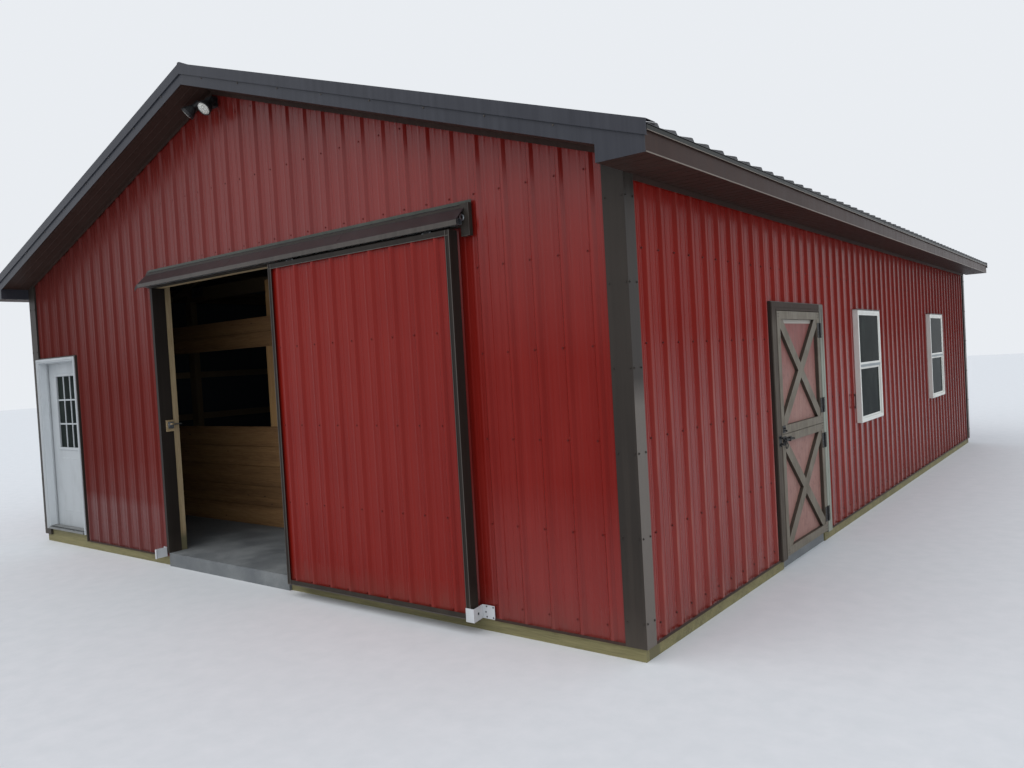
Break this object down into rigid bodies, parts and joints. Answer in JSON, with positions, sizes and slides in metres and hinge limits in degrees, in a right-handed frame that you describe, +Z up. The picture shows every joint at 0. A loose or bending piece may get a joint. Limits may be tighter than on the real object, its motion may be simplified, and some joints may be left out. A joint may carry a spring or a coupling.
{
  "type": "red barn",
  "caption": "Post-frame barn with red ribbed steel walls, a dark ribbed gable roof, a sliding door, a split stable door, an entry door, windows and a stall front inside.",
  "frame": {"origin": "on the ground under the middle of the roof", "axes": "+Z up, front gable with the sliding door towards -Y, stable door on the +X side"},
  "size_m": [9.214, 12.836, 4.7635],
  "materials": {
    "siding_paint": "satin baked enamel on ribbed steel, barn red, chalked a little",
    "roof_paint": "satin baked enamel on ribbed steel, charcoal",
    "trim_paint": "satin dark bronze enamel on folded steel",
    "galvanised": "dull galvanised steel",
    "concrete": "trowelled concrete",
    "lumber": "rough sawn softwood",
    "treated_lumber": "pressure treated softwood, greenish, weathered",
    "stable_wood": "stained boards, weathered grey-brown frame and rose-red panel",
    "white_steel": "white enamel, embossed steel door",
    "white_vinyl": "white vinyl, semi-gloss",
    "white_nylon": "white coated steel guides",
    "glass": "clear window glass",
    "black_iron": "black powder-coated ironwork",
    "lamp_housing": "dark bronze lamp housing with a frosted lens",
    "door_hardware": "satin nickel"
  },
  "bodies": {
    "building": {"floor_slab": "concrete", "skirt_boards": "treated_lumber", "posts": "lumber", "girts": "lumber", "window_studs": "lumber", "truss_top_chords": "lumber", "truss_bottom_chords": "lumber", "truss_webs": "lumber", "purlins": "lumber", "barge_rafters": "lumber", "fascia_boards": "lumber", "roof_sheet_left": "roof_paint", "roof_sheet_right": "roof_paint", "ridge_cap": "trim_paint", "rake_trims": "trim_paint", "eave_trim": "trim_paint", "soffits": "trim_paint", "eave_returns": "trim_paint", "front_wall": "siding_paint", "walls_over_doors": "siding_paint", "rear_wall": "siding_paint", "left_wall": "siding_paint", "right_wall": "siding_paint", "corner_trims": "trim_paint", "wall_edge_trims": "trim_paint", "doorway_trim": "trim_paint", "track_board": "trim_paint", "door_track": "galvanised", "track_cover": "trim_paint", "door_guides": "white_nylon", "jamb_latch": "black_iron", "entry_door_frame": "white_steel", "stable_door_frame": "stable_wood", "door_ironwork": "black_iron", "window_frames": "white_vinyl", "window_glass": "glass", "flood_light": "lamp_housing", "stall_posts": "lumber", "stall_boards": "lumber"},
    "sliding_door": {"sliding_door_frame": "lumber", "sliding_door_sheet": "siding_paint", "sliding_door_trim": "trim_paint", "sliding_door_hangers": "galvanised"},
    "entry_door": {"entry_door_leaf": "white_steel", "entry_door_glass": "glass", "entry_door_hardware": "door_hardware"},
    "upper_stable_leaf": {"upper_leaf": "stable_wood", "upper_leaf_hardware": "black_iron"},
    "lower_stable_leaf": {"lower_leaf": "stable_wood", "lower_leaf_hardware": "black_iron"}
  },
  "joints": [
    {"name": "sliding_door_travel", "type": "slide", "parent": "building", "child": "sliding_door", "axis": [-1, 0, 0], "range_m": [0, 2.19]},
    {"name": "entry_door_swing", "type": "hinge", "parent": "building", "child": "entry_door", "pos_m": [-4.0975, -5.947, 1.2], "axis": [0, 0, 1], "range_deg": [0, 90]},
    {"name": "upper_leaf_swing", "type": "hinge", "parent": "building", "child": "upper_stable_leaf", "pos_m": [4.289, -2.4345, 1.7], "axis": [0, 0, 1], "range_deg": [0, 178]},
    {"name": "lower_leaf_swing", "type": "hinge", "parent": "building", "child": "lower_stable_leaf", "pos_m": [4.289, -2.4345, 0.6], "axis": [0, 0, 1], "range_deg": [0, 178]}
  ]
}
